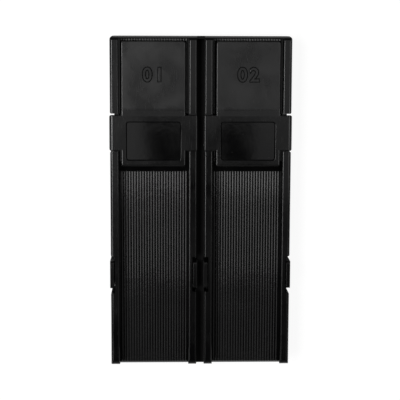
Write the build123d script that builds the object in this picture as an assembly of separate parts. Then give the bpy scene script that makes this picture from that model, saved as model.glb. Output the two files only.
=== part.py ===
from build123d import *
import os

# Reed case for four reeds, two on each face. It is one moulded body and four clip-on covers.
# Lengths are in millimetres. X runs across the case, Y along it and Z through its thickness.
# It lies on the back face at Z = 0, and its origin is the middle of that face.
# The pieces are drawn about the middle plane and lifted at the end. The back face is the
# front face turned by half a turn about X, and the left half mirrors the right half.

# Overall size of the case
case_length = 82.5
case_width = 44.5
case_thickness = 9.6
case_corner_radius = 1.0

# Rails, and the slot between the two inner ones
outer_rail_width = 2.15
inner_rail_width = 2.0
slot_width = 1.9
web_thickness = 2.6
rail_end_radius = 1.2
outer_edge_radius = 0.6
rail_edge_radius = 0.35

# Ribbed bed under each reed, and the wall that guards the reed's tip
bed_core_thickness = 1.54
rib_height = 0.13
rib_width = 0.6
rib_pitch = 0.67
rib_end_to_lip = 1.65
floor_dip_length = 2.6
floor_dip_depth = 0.36
end_wall_thickness = 0.7
end_wall_drop = 0.35
end_wall_edge_radius = 0.2
open_end_step = 0.5

# Round marks that the mould's ejector pins leave on the rails
ejector_mark_radius = 0.55
ejector_mark_depth = 0.06
ejector_mark_end_distance = 8.9

# Cover plate: a tongue towards the tip, a crossbar with two wings, and a lip
cover_thickness = 1.0
plate_side_gap = 0.625
tongue_corner_radius = 0.7
tongue_drop = 0.12
slope_length = 0.8
crease_radius = 4.0
tip_roll_length = 1.9
tip_roll_drop = 0.08
tip_gap = 0.42
wing_length = 8.72
wing_corner_radius = 0.5
wing_outer_edge_radius = 0.8
wing_inner_edge_radius = 0.35
plate_edge_radius = 0.4
crossbar_edge_radius = 0.22
wing_outer_overhang = 0.18
wing_inner_overhang = 0.15
tip_end_to_wing = 19.27
lip_length = 3.87
lip_end_radius = 0.45

# Pressed-in pad of the cover, which holds the reed flat on the ribs
pad_side_margin = 1.2
pad_length = 9.6
pad_lip_margin = 1.43
pad_depth = 0.5
pad_reach = 0.7
pad_wall_run = 0.25
pad_corner_radius = 0.75
pad_floor_corner_radius = 0.5
pad_rim_radius = 0.12
pad_ledge_width = 1.0
pad_ledge_tip_width = 1.25
pad_sink_depth = 0.04

# Legs of the cover and the notches in the case that they pass through
leg_thickness = 1.0
leg_lip_setback = 1.1
leg_tip_setback = 0.8
leg_corner_radius = 0.6
leg_end_recess = 0.1
leg_end_radius = 0.1
leg_clearance = 0.2
bridge_clearance = 0.05
seat_clearance = 0.05
seat_groove_depth = 0.6
notch_gap_tip_side = 0.4
notch_gap_lip_side = 0.2
inner_pocket_gap = 0.03
inner_ledge_thickness = 2.5
notch_mouth_radius = 0.4
snap_bead_radius = 0.14
snap_bead_end_margin = 1.2

# Overrun of cuts past the surface that they open
overrun = 1.0

# A face counts as an upper one when its normal rises by more than this share
upward_share = 0.5

# Places that follow from the sizes above
half_length = case_length / 2
half_width = case_width / 2
half_thickness = case_thickness / 2
half_slot = slot_width / 2
bed_half = bed_core_thickness / 2 + rib_height
bay_outer_x = half_width - outer_rail_width
bay_inner_x = half_slot + inner_rail_width
bay_width = bay_outer_x - bay_inner_x
bay_centre_x = (bay_outer_x + bay_inner_x) / 2
wing_outer_x = half_width + wing_outer_overhang
wing_inner_x = half_slot - wing_inner_overhang
cover_width = wing_outer_x - wing_inner_x
cover_centre_x = (wing_outer_x + wing_inner_x) / 2
plate_width = bay_width - 2 * plate_side_gap
pad_width = plate_width - 2 * pad_side_margin
wing_tip_y = half_length - tip_end_to_wing
wing_lip_y = wing_tip_y - wing_length
leg_tip_y = wing_tip_y - leg_tip_setback
leg_lip_y = wing_lip_y + leg_lip_setback
lip_y = wing_lip_y - lip_length
rib_end_y = lip_y - rib_end_to_lip
pad_y = lip_y + pad_lip_margin + pad_length / 2
tongue_y = half_length - end_wall_thickness - tip_gap
tip_roll_y = tongue_y - tip_roll_length
notch_tip_y = wing_tip_y + notch_gap_tip_side
notch_lip_y = wing_lip_y - notch_gap_lip_side
outer_notch_x = wing_outer_x - leg_thickness - leg_clearance
inner_notch_x = wing_inner_x + leg_thickness + leg_clearance
bridge_half = wing_inner_x - bridge_clearance
ejector_y = half_length - ejector_mark_end_distance


def block(x0, x1, y0, y1, z0, z1):
    """A block between two corners."""
    middle = Pos((x0 + x1) / 2, (y0 + y1) / 2, (z0 + z1) / 2)
    return middle * Box(x1 - x0, y1 - y0, z1 - z0)


def patch(x0, x1, y0, y1):
    """A flat rectangle between two corners."""
    return Pos((x0 + x1) / 2, (y0 + y1) / 2) * Rectangle(x1 - x0, y1 - y0)


def turned_over(shape):
    """The same shape on the back face: half a turn about X."""
    return Rot(180, 0, 0) * shape


def rail_section(outer_x, inner_x, outer_radius):
    """One rail cut across, on the +X side, with its long edges rounded."""
    rail = patch(inner_x, outer_x, -half_thickness, half_thickness)
    sides = rail.vertices().group_by(Axis.X)
    rail = fillet(sides[-1], outer_radius)
    sides = rail.vertices().group_by(Axis.X)
    return fillet(sides[0], rail_edge_radius)


def bed_outline_above():
    """The upper edge of one bed on the +X side, with a round rib at each pitch."""
    floor = bed_core_thickness / 2
    count = int((bay_width - rib_width) / rib_pitch) + 1
    first_x = bay_centre_x - (count - 1) * rib_pitch / 2
    edges = []
    reached = (bay_inner_x, floor)
    for index in range(count):
        middle_x = first_x + index * rib_pitch
        start = (middle_x - rib_width / 2, floor)
        crest = (middle_x, floor + rib_height)
        end = (middle_x + rib_width / 2, floor)
        edges.append(Line(reached, start))
        edges.append(ThreePointArc(start, crest, end))
        reached = end
    edges.append(Line(reached, (bay_outer_x, floor)))
    return edges


def bed_section():
    """One bed cut across, on the +X side: half of it above the middle plane, half below."""
    edges = bed_outline_above()
    floor = bed_core_thickness / 2
    edges.append(Line((bay_outer_x, floor), (bay_outer_x, 0)))
    edges.append(Line((bay_outer_x, 0), (bay_inner_x, 0)))
    edges.append(Line((bay_inner_x, 0), (bay_inner_x, floor)))
    upper = make_face(edges)
    return upper + mirror(upper, Plane.XZ)


def case_section():
    """The whole case cut across: four rails, two ribbed beds and the web of the slot."""
    side = rail_section(half_width, bay_outer_x, outer_edge_radius)
    side += bed_section()
    inner_rail = patch(half_slot, bay_inner_x, -half_thickness, half_thickness)
    side += fillet(inner_rail.vertices(), rail_edge_radius)
    web = patch(-half_slot, half_slot, -web_thickness / 2, web_thickness / 2)
    return side + web + mirror(side, Plane.YZ)


def side_outline_above():
    """The upper half of the case seen from the side: rounded rail ends, open end at -Y."""
    outline = Polygon(
        (-half_length, 0),
        (-half_length, bed_half - open_end_step),
        (-half_length + open_end_step, bed_half),
        (-half_length + open_end_step, half_thickness),
        (half_length, half_thickness),
        (half_length, 0),
        align=None,
    )
    top = outline.vertices().group_by(Axis.Y)[-1]
    return fillet(top, rail_end_radius)


def plan_outline():
    """The case seen from above, with the eight notches that the covers' legs pass through."""
    plan = Rectangle(case_width, case_length)
    for side in (-1, 1):
        for face in (-1, 1):
            outer_x = sorted((side * outer_notch_x, side * (half_width + overrun)))
            outer_y = sorted((face * notch_lip_y, face * notch_tip_y))
            plan -= patch(*outer_x, *outer_y)
            inner_x = sorted((side * bridge_half, side * inner_notch_x))
            inner_y = sorted((face * (leg_lip_y - leg_clearance), face * (leg_tip_y + leg_clearance)))
            plan -= patch(*inner_x, *inner_y)
    between_y = (notch_tip_y + half_length) / 2
    case_corners = side_corners(plan).filter_by(lambda corner: abs(corner.Y) > between_y)
    plan = fillet(case_corners, case_corner_radius)
    notch_mouths = side_corners(plan).filter_by(lambda corner: abs(corner.Y) < between_y)
    return fillet(notch_mouths, notch_mouth_radius)


def side_corners(plan):
    """The corners of a plan that lie on the two long sides of the case."""
    between_x = (outer_notch_x + half_width) / 2
    return plan.vertices().filter_by(lambda corner: abs(corner.X) > between_x)


def end_wall():
    """The low wall across the tip end of the front face, with its inner edge rounded."""
    top = half_thickness - end_wall_drop
    wall = block(-half_width, half_width, half_length - end_wall_thickness, half_length, 0, top)
    inner_edge = wall.edges().filter_by(Axis.X).group_by(Axis.Z)[-1].sort_by(Axis.Y)[0]
    return fillet(inner_edge, end_wall_edge_radius)


def smooth_floors():
    """The cuts that leave the front beds without ribs below the covers, with a dip at the ribs' ends."""
    floor = bed_core_thickness / 2
    top = bed_half + overrun
    side = Polygon(
        (rib_end_y, floor - floor_dip_depth),
        (rib_end_y + floor_dip_length, floor),
        (wing_tip_y, floor),
        (wing_tip_y, top),
        (rib_end_y, top),
        align=None,
    )
    cut = extrude(Plane.YZ * side, bay_width / 2, both=True)
    return Pos(-bay_centre_x, 0, 0) * cut + Pos(bay_centre_x, 0, 0) * cut


def wing_seats():
    """The cut that lowers the front rails where the wings of the covers lie."""
    floor = half_thickness - cover_thickness - seat_clearance
    return block(
        -half_width - overrun, half_width + overrun,
        notch_lip_y, notch_tip_y,
        floor, half_thickness + overrun,
    )


def seat_grooves():
    """Grooves across the front rails at both ends of the wing seats."""
    top = half_thickness - cover_thickness - seat_clearance
    floor = top - seat_groove_depth
    grooves = Part()
    for y0, y1 in ((notch_lip_y, wing_lip_y), (wing_tip_y, notch_tip_y)):
        grooves += block(-half_width - overrun, half_width + overrun, y0, y1, floor, top + overrun)
    return grooves


def inner_pockets():
    """Pockets in the back face round the ends of the front covers' inner legs."""
    floor = half_thickness - cover_thickness - seat_clearance - inner_ledge_thickness
    lip_side = wing_lip_y - inner_pocket_gap
    tip_side = wing_tip_y + inner_pocket_gap
    below = -half_thickness - overrun
    left = block(-inner_notch_x, -half_slot, lip_side, tip_side, below, floor)
    right = block(half_slot, inner_notch_x, lip_side, tip_side, below, floor)
    return left + right


def snap_bead(x, radius):
    """A round bead along Y, halfway up a notch wall or a leg."""
    length = leg_tip_y - leg_lip_y - 2 * snap_bead_end_margin
    middle_y = (leg_tip_y + leg_lip_y) / 2
    return Pos(x, middle_y, 0) * Rot(90, 0, 0) * Cylinder(radius, length)


def snap_beads():
    """The beads of the front notches, which hold the legs of the front covers."""
    beads = Part()
    for wall_x in (outer_notch_x, inner_notch_x):
        beads += snap_bead(-wall_x, snap_bead_radius)
        beads += snap_bead(wall_x, snap_bead_radius)
    return beads


def ejector_marks():
    """Shallow round marks on the front rails."""
    rail_middles = (half_width - outer_rail_width / 2, half_slot + inner_rail_width / 2)
    marks = Part()
    for rail_x in rail_middles:
        for side in (-1, 1):
            for y in (-ejector_y, 0, ejector_y):
                place = Pos(side * rail_x, y, half_thickness)
                marks += place * Cylinder(ejector_mark_radius, 2 * ejector_mark_depth)
    return marks


def case_body():
    """The moulded body, with the same bays on both faces."""
    body = extrude(Plane.XZ * case_section(), half_length, both=True)
    body += end_wall()
    body += turned_over(end_wall())
    side_above = side_outline_above()
    side_outline = side_above + Rot(0, 0, 180) * side_above
    body &= extrude(Plane.YZ * side_outline, half_width + overrun, both=True)
    body &= extrude(plan_outline(), half_thickness + overrun, both=True)
    for cut in (wing_seats(), seat_grooves(), smooth_floors(), inner_pockets()):
        body -= cut
        body -= turned_over(cut)
    body += snap_beads()
    body += turned_over(snap_beads())
    body -= ejector_marks()
    body -= turned_over(ejector_marks())
    return body


def joined(points):
    """Straight lines from each point to the next."""
    return [Line(here, there) for here, there in zip(points, points[1:])]


def plate_side():
    """The plate from the side: lip, middle, slope, and a tongue whose tip droops a little."""
    slope_y = wing_tip_y + slope_length
    tongue_top = half_thickness - tongue_drop
    tip_top = tongue_top - tip_roll_drop
    above = [
        (lip_y, half_thickness),
        (wing_tip_y, half_thickness),
        (slope_y, tongue_top),
        (tip_roll_y, tongue_top),
    ]
    below = [(y, z - cover_thickness) for y, z in above]
    tip_above = (tongue_y, tip_top)
    tip_below = (tongue_y, tip_top - cover_thickness)
    edges = joined(above) + joined(below)
    edges.append(TangentArc(above[-1], tip_above, tangent=(1, 0)))
    edges.append(TangentArc(below[-1], tip_below, tangent=(1, 0)))
    edges.append(Line(tip_above, tip_below))
    edges.append(Line(above[0], below[0]))
    side = make_face(edges)
    side = fillet(side.vertices().group_by(Axis.X)[0], lip_end_radius)
    creases = side.vertices().filter_by(lambda corner: wing_lip_y < corner.X < (slope_y + tip_roll_y) / 2)
    return fillet(creases, crease_radius)


def cover_plate():
    """The tongue, middle and lip of a cover as one plate, centred on X = 0."""
    plate = extrude(Plane.YZ * plate_side(), plate_width / 2, both=True)
    tip_corners = plate.edges().filter_by(Axis.Z).group_by(Axis.Y)[-1]
    plate = fillet(tip_corners, tongue_corner_radius)
    return fillet(plate_rim(plate), plate_edge_radius)


def plate_rim(plate):
    """The upper edges of a plate: both sides, the rounded corners and the tip."""
    upper = plate.faces().filter_by(lambda face: face.normal_at().Z > upward_share)
    tip_edge = upper.edges().filter_by(Axis.X).sort_by(Axis.Y)[-1]
    return upper.edges().filter_by(Axis.X, reverse=True) + [tip_edge]


def cover_section():
    """The crossbar and legs cut across: an arch that straddles two rails, its outer side at +X."""
    arch = patch(-cover_width / 2, cover_width / 2, leg_end_recess - half_thickness, half_thickness)
    inside = cover_width / 2 - leg_thickness
    arch -= patch(-inside, inside, -half_thickness, half_thickness - cover_thickness)
    arch = fillet(arch.vertices().group_by(Axis.Y)[0], leg_end_radius)
    shoulders = arch.vertices().group_by(Axis.Y)[-1].sort_by(Axis.X)
    arch = fillet(shoulders[-1:], wing_outer_edge_radius)
    shoulders = arch.vertices().group_by(Axis.Y)[-1].sort_by(Axis.X)
    return fillet(shoulders[:1], wing_inner_edge_radius)


def crossbar_side():
    """The crossbar and legs from the side. The legs are set back from both ends of the bar."""
    under = half_thickness - cover_thickness
    bar = patch(wing_lip_y, wing_tip_y, under, half_thickness)
    bar = fillet(bar.vertices().group_by(Axis.Y)[-1], crossbar_edge_radius)
    leg = patch(leg_lip_y, leg_tip_y, leg_end_recess - half_thickness, under)
    return bar + fillet(leg.vertices().group_by(Axis.Y)[0], leg_corner_radius)


def crossbar():
    """The crossbar with its wings and legs, centred on X = 0."""
    middle_y = (wing_tip_y + wing_lip_y) / 2
    bar = extrude(Plane.XZ * cover_section(), half_length, both=True)
    plan = Pos(0, middle_y) * RectangleRounded(cover_width, wing_length, wing_corner_radius)
    bar &= extrude(plan, half_thickness + overrun, both=True)
    bar &= extrude(Plane.YZ * crossbar_side(), cover_width, both=True)
    for side in (-1, 1):
        inner_face_x = side * (cover_width / 2 - leg_thickness)
        bar -= snap_bead(inner_face_x, snap_bead_radius)
    return bar


def pad_solid(top_z, depth):
    """A rounded block with steep sides that reaches some depth down from top_z."""
    rim = RectangleRounded(pad_width, pad_length, pad_corner_radius)
    floor_width = pad_width - 2 * pad_wall_run
    floor_length = pad_length - 2 * pad_wall_run
    floor = RectangleRounded(floor_width, floor_length, pad_floor_corner_radius)
    return loft([Pos(0, pad_y, top_z) * rim, Pos(0, pad_y, top_z - depth) * floor])


def pad_sink():
    """The shallow step in the floor of the pad, which leaves a ledge round it."""
    width = pad_width - 2 * pad_ledge_width
    length = pad_length - pad_ledge_width - pad_ledge_tip_width
    middle_y = pad_y - (pad_ledge_tip_width - pad_ledge_width) / 2
    floor_z = half_thickness - pad_depth - pad_sink_depth
    outline = Pos(0, middle_y, floor_z) * RectangleRounded(width, length, pad_floor_corner_radius)
    return extrude(outline, pad_depth)


def pad_rim(shape):
    """The upper edges of the pad's walls."""
    half_span = (pad_width + pad_side_margin) / 2
    half_run = (pad_length + pad_lip_margin) / 2
    highest = shape.edges().group_by(Axis.Z)[-1]
    highest = highest.filter_by(lambda edge: abs(edge.center().X) < half_span)
    return highest.filter_by(lambda edge: abs(edge.center().Y - pad_y) < half_run)


def right_cover():
    """The right cover, seated on the front face and centred on X = 0."""
    shape = cover_plate() + crossbar()
    shape += pad_solid(half_thickness - cover_thickness, pad_reach)
    shape -= pad_solid(half_thickness, pad_depth)
    shape -= pad_sink()
    return fillet(pad_rim(shape), pad_rim_radius)


def write(name, shape):
    """Lift a piece from the middle plane to its place over Z = 0 and write it."""
    placed = Pos(0, 0, half_thickness) * shape
    placed.label = name
    export_step(placed, os.path.join("parts", name + ".step"))


os.makedirs("parts", exist_ok=True)
write("case_body", case_body())
right = Pos(cover_centre_x, 0, 0) * right_cover()
left = mirror(right, Plane.YZ)
for side_name, seated in (("left", left), ("right", right)):
    write("front_cover_" + side_name, seated)
    write("back_cover_" + side_name, turned_over(seated))
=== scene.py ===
from math import pi, radians

import bpy
from mathutils import Matrix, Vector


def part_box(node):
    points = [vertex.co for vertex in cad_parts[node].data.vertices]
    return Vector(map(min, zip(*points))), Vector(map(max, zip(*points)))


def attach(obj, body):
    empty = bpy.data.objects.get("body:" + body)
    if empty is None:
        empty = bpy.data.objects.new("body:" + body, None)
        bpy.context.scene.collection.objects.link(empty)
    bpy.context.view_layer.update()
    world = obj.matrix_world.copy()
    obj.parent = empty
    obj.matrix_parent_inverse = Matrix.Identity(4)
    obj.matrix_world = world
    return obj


# Looks of a reed case in glossy black plastic, seen from above its front face on white.
# Lengths are metres in the frame of the CAD model, and MM is one millimetre.
MM = 0.001
PER_MM = 1 / MM

# Sizes of the CAD model that no node's box gives: half of the slot between the inner rails, with
# the width of its edge in the finish, and how far the tongues lie below their covers' tops
SLOT_HALF = 0.95 * MM
SLOT_EDGE = 0.02 * MM
TONGUE_DROP = 0.12 * MM

# Camera, at the photograph's viewing angle
CAMERA_PLACE = (-8.9 * MM, 42.1 * MM, 307.0 * MM)
CAMERA_TILT_X = radians(-7.85)
CAMERA_TILT_Y = radians(-1.67)
CAMERA_TILT_Z = radians(-0.03)
CAMERA_LENS = 109.5
CAMERA_SENSOR = 36.0

# White floor, and the part of its white that doesn't take the object's shadow
FLOOR_HALF = 3.0
FLOOR_WHITE = 0.15
FLOOR_SEEN_WHITE = 0.22
FLOOR_SEEN_GLOW = 0.90

# In reflections the floor is white too, but for a dim band along the outline of the case: a
# painted contact shadow. The white sets in from the first to the second of two distances, measured
# outwards.
WHITE_OUTSIDE = (2.5 * MM, 12.0 * MM)
WHITE_INSIDE = (-2.5 * MM, -5.0 * MM)

# World light for everything but the camera, which sees white: dim overhead, and paler towards
# the horizon and beyond both ends of the case. The paler light goes from none to full between
# two values of a direction's unit vector, of its Z for the horizon and its Y for the ends.
WORLD_GREY = 0.02
HORIZON_GREY = 0.25
HORIZON_NONE = 0.47
HORIZON_FULL = 0.34
OPEN_END_GREY = 0.15
TIP_END_GREY = 0.08
ENDS_NONE = 0.42
ENDS_FULL = 0.62

# Soft lamps overhead, which face down: middle, size, and radiance of the lit face.
# They fade in steps towards the open end, and leave a dark gap over the pads.
OVERHEAD_HEIGHT = 0.60
OVERHEAD_LAMPS = {
    "panel_top": {"middle": (0.0, 0.130), "size": (0.28, 0.30), "radiance": 0.45},
    "panel_low_left": {"middle": (-0.088, -0.051), "size": (0.110, 0.062), "radiance": 0.5},
    "panel_low_right": {"middle": (0.106, -0.051), "size": (0.088, 0.062), "radiance": 0.35},
    "panel_lower": {"middle": (0.0, -0.106), "size": (0.28, 0.048), "radiance": 0.09},
    "panel_lowest": {"middle": (0.0, -0.155), "size": (0.28, 0.050), "radiance": 0.04},
}

# Soft lamps on both sides, which lean towards the case by a tilt in degrees. The side is -1 on
# the left, and the middle is its place along the case.
SIDE_DISTANCE = 0.254
SIDE_HEIGHT = 0.544
SIDE_TILT = 25
SIDE_WIDTH = 0.190
SIDE_LAMPS = {
    "panel_left": {"side": -1, "middle": 0.0625, "length": 0.275, "radiance": 9.0},
    "panel_left_low": {"side": -1, "middle": -0.1075, "length": 0.065, "radiance": 5.0},
    "panel_left_lowest": {"side": -1, "middle": -0.175, "length": 0.07, "radiance": 1.6},
    "panel_right": {"side": 1, "middle": 0.0625, "length": 0.275, "radiance": 2.5},
    "panel_right_low": {"side": 1, "middle": -0.1425, "length": 0.135, "radiance": 0.6},
}

# Plastics: colour, how far the pads' floors bulge, and the least and greatest roughness of the
# faces, of the tongues and of what lies deeper. The body has no pads or tongues.
BODY = {
    "colour": (0.0012, 0.0012, 0.0014), "bulge": 0.0,
    "face": (0.10, 0.17), "tongue": (0.10, 0.17), "deep": (0.06, 0.10),
}
COVER = {
    "colour": (0.0014, 0.0014, 0.0016), "bulge": 0.10 * MM,
    "face": (0.12, 0.20), "tongue": (0.24, 0.38), "deep": (0.09, 0.14),
}
SLOT_ROUGHNESS = 1.0
WORN_COLOUR = (0.0030, 0.0030, 0.0031)
DUST_COLOUR = (0.020, 0.019, 0.018)

# The tongues are satin from this distance along the case, over a short change of finish
SATIN_FROM_Y = 22.6 * MM
SATIN_FULL_Y = 24.0 * MM

# What lies this far below the faces counts as deeper
DEEP_FROM = 0.25 * MM
DEEP_FULL = 0.35 * MM

# Numerals on the tongues: height, swell of the strokes, sloping sides, spacing and place
NUMERAL_HEIGHT = 3.3 * MM
NUMERAL_SWELL = 0.04 * MM
NUMERAL_SLOPE_RUN = 0.24 * MM
NUMERAL_RISE = 0.12 * MM
NUMERAL_SPACING = 1.25
NUMERAL_PLACE_Y = 31.7 * MM
NUMERALS = {"front_left": "01", "front_right": "02", "back_left": "03", "back_right": "04"}

# Moulded skin: waves and orange peel, as noise per millimetre, its octaves and heights
SKIN_WAVE_SCALE = 0.12
SKIN_WAVE_DETAIL = 1
SKIN_WAVE_HEIGHT = 0.030 * MM
SKIN_PEEL_SCALE = 0.9
SKIN_PEEL_DETAIL = 2
SKIN_PEEL_HEIGHT = 0.006 * MM

# Smudges, as noise per millimetre, its octaves and distortion, and the range of its values
SMUDGE_SCALE = 0.14
SMUDGE_DETAIL = 5
SMUDGE_DISTORTION = 0.6
SMUDGE_LOW = 0.35
SMUDGE_HIGH = 0.65

# Fine scratches along the case: noise per millimetre across and along it, its octaves, the
# values that count, and what they change
SCRATCH_STRETCH = (9.0, 0.35, 9.0)
SCRATCH_DETAIL = 2
SCRATCH_FROM = 0.62
SCRATCH_FULL = 0.74
SCRATCH_ROUGHNESS = 0.10
SCRATCH_HEIGHT = 0.0015 * MM

# Dust: cells per millimetre, and a grain's radius and outer edge as shares of a cell
DUST_SCALE = 0.45
DUST_RADIUS = 0.04
DUST_EDGE = 0.06

# The floors of the pads bulge a little between their middle lines and their sides
PAD_MIDDLE_X = 11.525 * MM
PAD_HALF_WIDTH = 6.75 * MM

# Places of the colours among the sockets of a mix node
MIX_FIRST_COLOUR = 6
MIX_SECOND_COLOUR = 7
MIX_RESULT_COLOUR = 2


def add_node(tree, kind, inputs=None, **settings):
    """A new shader node. Its inputs are plain values or the outputs of other nodes."""
    node = tree.nodes.new(kind)
    for name, value in settings.items():
        setattr(node, name, value)
    for name, value in (inputs or {}).items():
        if isinstance(value, bpy.types.NodeSocket):
            tree.links.new(value, node.inputs[name])
        else:
            node.inputs[name].default_value = value
    return node


def empty_tree(owner):
    """The node tree of a new material or world, with nothing in it."""
    owner.use_nodes = True
    owner.node_tree.nodes.clear()
    return owner.node_tree


def grey(level):
    """A grey colour with its alpha."""
    return (level, level, level, 1)


def math_node(tree, operation, first, second=0):
    """A sum on one or two values."""
    return add_node(tree, "ShaderNodeMath", {0: first, 1: second}, operation=operation).outputs[0]


def distance_from(tree, value, middle):
    """How far a value lies from the middle, to either side."""
    return math_node(tree, "ABSOLUTE", math_node(tree, "SUBTRACT", value, middle))


def smooth_share(tree, value, none_at, full_at):
    """A share that goes smoothly from nought to one between two values."""
    return add_node(tree, "ShaderNodeMapRange", {
        "Value": value, "From Min": none_at, "From Max": full_at,
    }, interpolation_type="SMOOTHSTEP").outputs["Result"]


def mixed(tree, share, first, second):
    """The first value where the share is nought and the second where it is one."""
    return add_node(tree, "ShaderNodeMix", {
        "Factor": share, "A": first, "B": second,
    }, data_type="FLOAT").outputs["Result"]


def mixed_colour(tree, share, first, second):
    """The first colour where the share is nought and the second where it is one."""
    node = add_node(tree, "ShaderNodeMix", {0: share}, data_type="RGBA")
    for place, colour in ((MIX_FIRST_COLOUR, first), (MIX_SECOND_COLOUR, second)):
        if isinstance(colour, bpy.types.NodeSocket):
            tree.links.new(colour, node.inputs[place])
        else:
            node.inputs[place].default_value = (*colour, 1)
    return node.outputs[MIX_RESULT_COLOUR]


def add_camera():
    """The photograph's camera."""
    data = bpy.data.cameras.new("camera")
    data.lens = CAMERA_LENS
    data.sensor_width = CAMERA_SENSOR
    camera = bpy.data.objects.new("camera", data)
    bpy.context.scene.collection.objects.link(camera)
    tilt_x = Matrix.Rotation(CAMERA_TILT_X, 4, "X")
    tilt_y = Matrix.Rotation(CAMERA_TILT_Y, 4, "Y")
    tilt_z = Matrix.Rotation(CAMERA_TILT_Z, 4, "Z")
    camera.matrix_world = Matrix.Translation(CAMERA_PLACE) @ tilt_x @ tilt_y @ tilt_z
    bpy.context.scene.camera = camera


def add_panel(name, place, tilt, size, radiance):
    """A soft rectangular lamp that faces down, or sideways by its tilt."""
    data = bpy.data.lights.new(name, "AREA")
    data.shape = "RECTANGLE"
    data.size, data.size_y = size
    data.energy = radiance * pi * size[0] * size[1]
    lamp = bpy.data.objects.new(name, data)
    bpy.context.scene.collection.objects.link(lamp)
    lamp.location = place
    lamp.rotation_euler.y = radians(tilt)
    lamp.visible_camera = False


def add_lamps():
    """The lamps overhead and on both sides."""
    for name, lamp in OVERHEAD_LAMPS.items():
        add_panel(name, (*lamp["middle"], OVERHEAD_HEIGHT), 0, lamp["size"], lamp["radiance"])
    for name, lamp in SIDE_LAMPS.items():
        place = (lamp["side"] * SIDE_DISTANCE, lamp["middle"], SIDE_HEIGHT)
        size = (SIDE_WIDTH, lamp["length"])
        add_panel(name, place, lamp["side"] * SIDE_TILT, size, lamp["radiance"])


def add_world():
    """A dim world, paler at the horizon and beyond the ends, which the camera sees as white."""
    world = bpy.data.worlds.new("world")
    bpy.context.scene.world = world
    tree = empty_tree(world)
    path = add_node(tree, "ShaderNodeLightPath")
    direction = add_node(tree, "ShaderNodeTexCoord").outputs["Generated"]
    parts = add_node(tree, "ShaderNodeSeparateXYZ", {0: direction})
    low = smooth_share(tree, parts.outputs["Z"], HORIZON_NONE, HORIZON_FULL)
    strength = mixed(tree, low, WORLD_GREY, HORIZON_GREY)
    for side, level in ((-1, OPEN_END_GREY), (1, TIP_END_GREY)):
        beyond = smooth_share(tree, parts.outputs["Y"], side * ENDS_NONE, side * ENDS_FULL)
        strength = math_node(tree, "MAXIMUM", strength, math_node(tree, "MULTIPLY", beyond, level))
    dim = add_node(tree, "ShaderNodeBackground", {"Color": grey(1), "Strength": strength})
    white = add_node(tree, "ShaderNodeBackground", {"Color": grey(1)})
    mix = add_node(tree, "ShaderNodeMixShader", {
        0: path.outputs["Is Camera Ray"],
        1: dim.outputs["Background"],
        2: white.outputs["Background"],
    })
    add_node(tree, "ShaderNodeOutputWorld", {"Surface": mix.outputs["Shader"]})


def floor_mirrored_past_painted_shadow(tree):
    """A share that is one where reflections see the white floor, and nought in the painted contact
    shadow.
    """
    place = add_node(tree, "ShaderNodeTexCoord").outputs["Object"]
    parts = add_node(tree, "ShaderNodeSeparateXYZ", {0: place})
    across = distance_from(tree, parts.outputs["X"], 0)
    along = distance_from(tree, parts.outputs["Y"], 0)
    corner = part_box("case_body")[1]
    distance = math_node(tree, "MAXIMUM",
                         math_node(tree, "SUBTRACT", across, corner.x),
                         math_node(tree, "SUBTRACT", along, corner.y))
    outside = smooth_share(tree, distance, *WHITE_OUTSIDE)
    return math_node(tree, "MAXIMUM", outside, smooth_share(tree, distance, *WHITE_INSIDE))


def floor_material():
    """White with the object's shadow. From below it can be seen through."""
    material = bpy.data.materials.new("floor")
    tree = empty_tree(material)
    path = add_node(tree, "ShaderNodeLightPath")
    geometry = add_node(tree, "ShaderNodeNewGeometry")
    plain = add_node(tree, "ShaderNodeBsdfDiffuse", {"Color": grey(FLOOR_WHITE)})
    seen = add_node(tree, "ShaderNodeBsdfDiffuse", {"Color": grey(FLOOR_SEEN_WHITE)})
    glow = add_node(tree, "ShaderNodeEmission", {"Strength": FLOOR_SEEN_GLOW})
    bright = add_node(tree, "ShaderNodeAddShader", {
        0: seen.outputs["BSDF"],
        1: glow.outputs["Emission"],
    })
    # Glossy rays see the white floor, but for the painted contact shadow along the case's outline
    mirrored = math_node(tree, "MULTIPLY", path.outputs["Is Glossy Ray"], floor_mirrored_past_painted_shadow(tree))
    white = math_node(tree, "MAXIMUM", path.outputs["Is Camera Ray"], mirrored)
    above = add_node(tree, "ShaderNodeMixShader", {
        0: white,
        1: plain.outputs["BSDF"],
        2: bright.outputs["Shader"],
    })
    clear = add_node(tree, "ShaderNodeBsdfTransparent")
    surface = add_node(tree, "ShaderNodeMixShader", {
        0: geometry.outputs["Backfacing"],
        1: above.outputs["Shader"],
        2: clear.outputs["BSDF"],
    })
    add_node(tree, "ShaderNodeOutputMaterial", {"Surface": surface.outputs["Shader"]})
    return material


def add_floor():
    """The surface that the case lies on."""
    mesh = bpy.data.meshes.new("floor")
    corners = [(-FLOOR_HALF, -FLOOR_HALF, 0), (FLOOR_HALF, -FLOOR_HALF, 0),
               (FLOOR_HALF, FLOOR_HALF, 0), (-FLOOR_HALF, FLOOR_HALF, 0)]
    mesh.from_pydata(corners, [], [(0, 1, 2, 3)])
    mesh.materials.append(floor_material())
    floor = bpy.data.objects.new("floor", mesh)
    bpy.context.scene.collection.objects.link(floor)


def skin_noise(tree, place, scale, detail, distortion=0.0):
    """Soft noise over the surface, with its scale per millimetre."""
    return add_node(tree, "ShaderNodeTexNoise", {
        "Vector": place, "Scale": scale, "Detail": detail, "Distortion": distortion,
    }).outputs["Fac"]


def roughness_between(tree, smudge, limits):
    """A roughness that follows the smudges between two limits."""
    return add_node(tree, "ShaderNodeMapRange", {
        "Value": smudge, "From Min": SMUDGE_LOW, "From Max": SMUDGE_HIGH,
        "To Min": limits[0], "To Max": limits[1],
    }).outputs["Result"]


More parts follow.
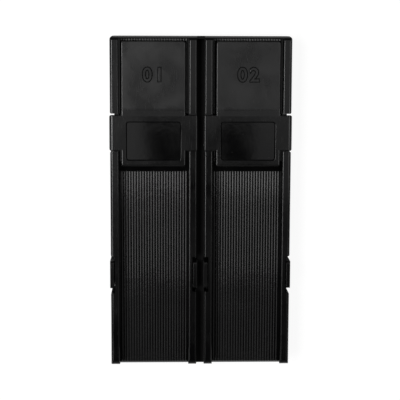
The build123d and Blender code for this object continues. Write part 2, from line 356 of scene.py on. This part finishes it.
def finish_roughness(tree, parts, smudge, deeper, face, tongue, deep):
    """Roughness of the faces, the satin tongues, the pads and beds, and the unpolished slot."""
    along = distance_from(tree, parts.outputs["Y"], 0)
    across = distance_from(tree, parts.outputs["X"], 0)
    on_tongue = smooth_share(tree, along, SATIN_FROM_Y, SATIN_FULL_Y)
    in_slot = smooth_share(tree, across, SLOT_HALF + SLOT_EDGE, SLOT_HALF)
    roughness = mixed(tree, on_tongue, roughness_between(tree, smudge, face),
                      roughness_between(tree, smudge, tongue))
    roughness = mixed(tree, deeper, roughness, roughness_between(tree, smudge, deep))
    return mixed(tree, in_slot, roughness, SLOT_ROUGHNESS)


def middle_height():
    """Height of the plane midway between the front and back faces."""
    low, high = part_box("case_body")
    return (low.z + high.z) / 2


def share_deeper(tree, parts):
    """A share that is one on what lies deeper than the faces."""
    middle = middle_height()
    height = distance_from(tree, parts.outputs["Z"], middle)
    return smooth_share(tree, height, middle - DEEP_FROM, middle - DEEP_FULL)


def pad_bulge(tree, parts, deeper):
    """A share that is one on the middle lines of the pads' floors and falls to their sides."""
    across = distance_from(tree, parts.outputs["X"], 0)
    from_middle = distance_from(tree, across, PAD_MIDDLE_X)
    share = math_node(tree, "DIVIDE", from_middle, PAD_HALF_WIDTH)
    height = math_node(tree, "SUBTRACT", 1, math_node(tree, "MULTIPLY", share, share))
    return math_node(tree, "MULTIPLY", height, deeper)


def scratches(tree, place, deeper):
    """A share that is one in fine scratches along the faces, and nought on what lies deeper."""
    stretched = add_node(tree, "ShaderNodeVectorMath", {
        0: place, 1: SCRATCH_STRETCH,
    }, operation="MULTIPLY").outputs[0]
    noise = skin_noise(tree, stretched, 1, SCRATCH_DETAIL)
    return mixed(tree, deeper, smooth_share(tree, noise, SCRATCH_FROM, SCRATCH_FULL), 0)


def dust(tree, place):
    """A share that is one on scattered grains."""
    cells = add_node(tree, "ShaderNodeTexVoronoi", {"Vector": place, "Scale": DUST_SCALE})
    return smooth_share(tree, cells.outputs["Distance"], DUST_EDGE, DUST_RADIUS)


def bumped(tree, height, distance, normal=None):
    """A normal that follows a height over the surface, on top of an earlier normal."""
    inputs = {"Height": height, "Distance": distance}
    if normal:
        inputs["Normal"] = normal
    return add_node(tree, "ShaderNodeBump", inputs).outputs["Normal"]


def skin_normal(tree, place, scratch, bulge_share, bulge):
    """A normal with soft waves, orange peel, scratches and the bulge of the pads' floors."""
    wave = skin_noise(tree, place, SKIN_WAVE_SCALE, SKIN_WAVE_DETAIL)
    peel = skin_noise(tree, place, SKIN_PEEL_SCALE, SKIN_PEEL_DETAIL)
    normal = bumped(tree, wave, SKIN_WAVE_HEIGHT)
    normal = bumped(tree, peel, SKIN_PEEL_HEIGHT, normal)
    normal = bumped(tree, math_node(tree, "MULTIPLY", scratch, -1), SCRATCH_HEIGHT, normal)
    return bumped(tree, bulge_share, bulge, normal)


def plastic(name, colour, bulge, **limits):
    """Moulded black plastic with smudges, scratches, dust, soft waves and orange peel."""
    material = bpy.data.materials.new(name)
    tree = empty_tree(material)
    metres = add_node(tree, "ShaderNodeTexCoord").outputs["Object"]
    place = add_node(tree, "ShaderNodeVectorMath", {
        0: metres, "Scale": PER_MM,
    }, operation="SCALE").outputs[0]
    parts = add_node(tree, "ShaderNodeSeparateXYZ", {0: metres})
    smudge = skin_noise(tree, place, SMUDGE_SCALE, SMUDGE_DETAIL, SMUDGE_DISTORTION)
    deeper = share_deeper(tree, parts)
    scratch = scratches(tree, place, deeper)
    roughness = finish_roughness(tree, parts, smudge, deeper, **limits)
    rougher = math_node(tree, "MULTIPLY", scratch, SCRATCH_ROUGHNESS)
    worn = smooth_share(tree, smudge, SMUDGE_LOW, SMUDGE_HIGH)
    shade = mixed_colour(tree, worn, colour, WORN_COLOUR)
    shader = add_node(tree, "ShaderNodeBsdfPrincipled", {
        "Base Color": mixed_colour(tree, dust(tree, place), shade, DUST_COLOUR),
        "Roughness": math_node(tree, "ADD", roughness, rougher),
        "Normal": skin_normal(tree, place, scratch, pad_bulge(tree, parts, deeper), bulge),
    })
    add_node(tree, "ShaderNodeOutputMaterial", {"Surface": shader.outputs["BSDF"]})
    return material


def numeral_mesh(text):
    """Raised figures with sloping sides, centred on the origin and facing +Z."""
    curve = bpy.data.curves.new("numeral_outline", "FONT")
    curve.body = text
    curve.align_x = "CENTER"
    curve.align_y = "CENTER"
    curve.space_character = NUMERAL_SPACING
    outline = bpy.data.objects.new("numeral_outline", curve)
    bpy.context.scene.collection.objects.link(outline)
    bpy.context.view_layer.update()
    curve.size *= NUMERAL_HEIGHT / outline.dimensions.y
    curve.offset = NUMERAL_SWELL
    curve.bevel_depth = NUMERAL_SLOPE_RUN
    curve.bevel_resolution = 0
    bpy.context.view_layer.update()
    shown = outline.evaluated_get(bpy.context.evaluated_depsgraph_get())
    mesh = bpy.data.meshes.new_from_object(shown)
    bpy.data.objects.remove(outline)
    mesh.transform(Matrix.Scale(NUMERAL_RISE / NUMERAL_SLOPE_RUN, 4, (0, 0, 1)))
    return mesh


def add_numeral(body, text, material):
    """The figures on one tongue. A back cover is the front one turned over about X."""
    low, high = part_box("front_cover_" + body.split("_")[1])
    place = Matrix.Translation(((low.x + high.x) / 2, NUMERAL_PLACE_Y, high.z - TONGUE_DROP))
    if body.startswith("back"):
        turn = Matrix.Rotation(pi, 4, "X")
        centre = Matrix.Translation((0, 0, middle_height()))
        place = centre @ turn @ centre.inverted() @ place
    mesh = numeral_mesh(text)
    mesh.transform(place)
    mesh.materials.clear()
    mesh.materials.append(material)
    piece = bpy.data.objects.new("numeral_" + body, mesh)
    bpy.context.scene.collection.objects.link(piece)
    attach(piece, body)


def dress(node, material):
    """Gives a CAD node its finish."""
    node.data.materials.clear()
    node.data.materials.append(material)


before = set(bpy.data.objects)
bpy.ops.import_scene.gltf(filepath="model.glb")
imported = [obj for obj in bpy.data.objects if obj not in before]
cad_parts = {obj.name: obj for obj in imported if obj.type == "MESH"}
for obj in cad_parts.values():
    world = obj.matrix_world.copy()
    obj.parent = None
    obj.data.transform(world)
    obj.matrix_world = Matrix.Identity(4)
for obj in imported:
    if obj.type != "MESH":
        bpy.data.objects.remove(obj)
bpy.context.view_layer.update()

bpy.context.scene.view_settings.view_transform = "Standard"
add_camera()
add_world()
add_floor()
add_lamps()

body_plastic = plastic("body_plastic_finish", **BODY)
cover_plastic = plastic("cover_plastic_finish", **COVER)
for node_name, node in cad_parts.items():
    dress(node, body_plastic if node_name == "case_body" else cover_plastic)
for body_name, figures in NUMERALS.items():
    add_numeral(body_name, figures, cover_plastic)
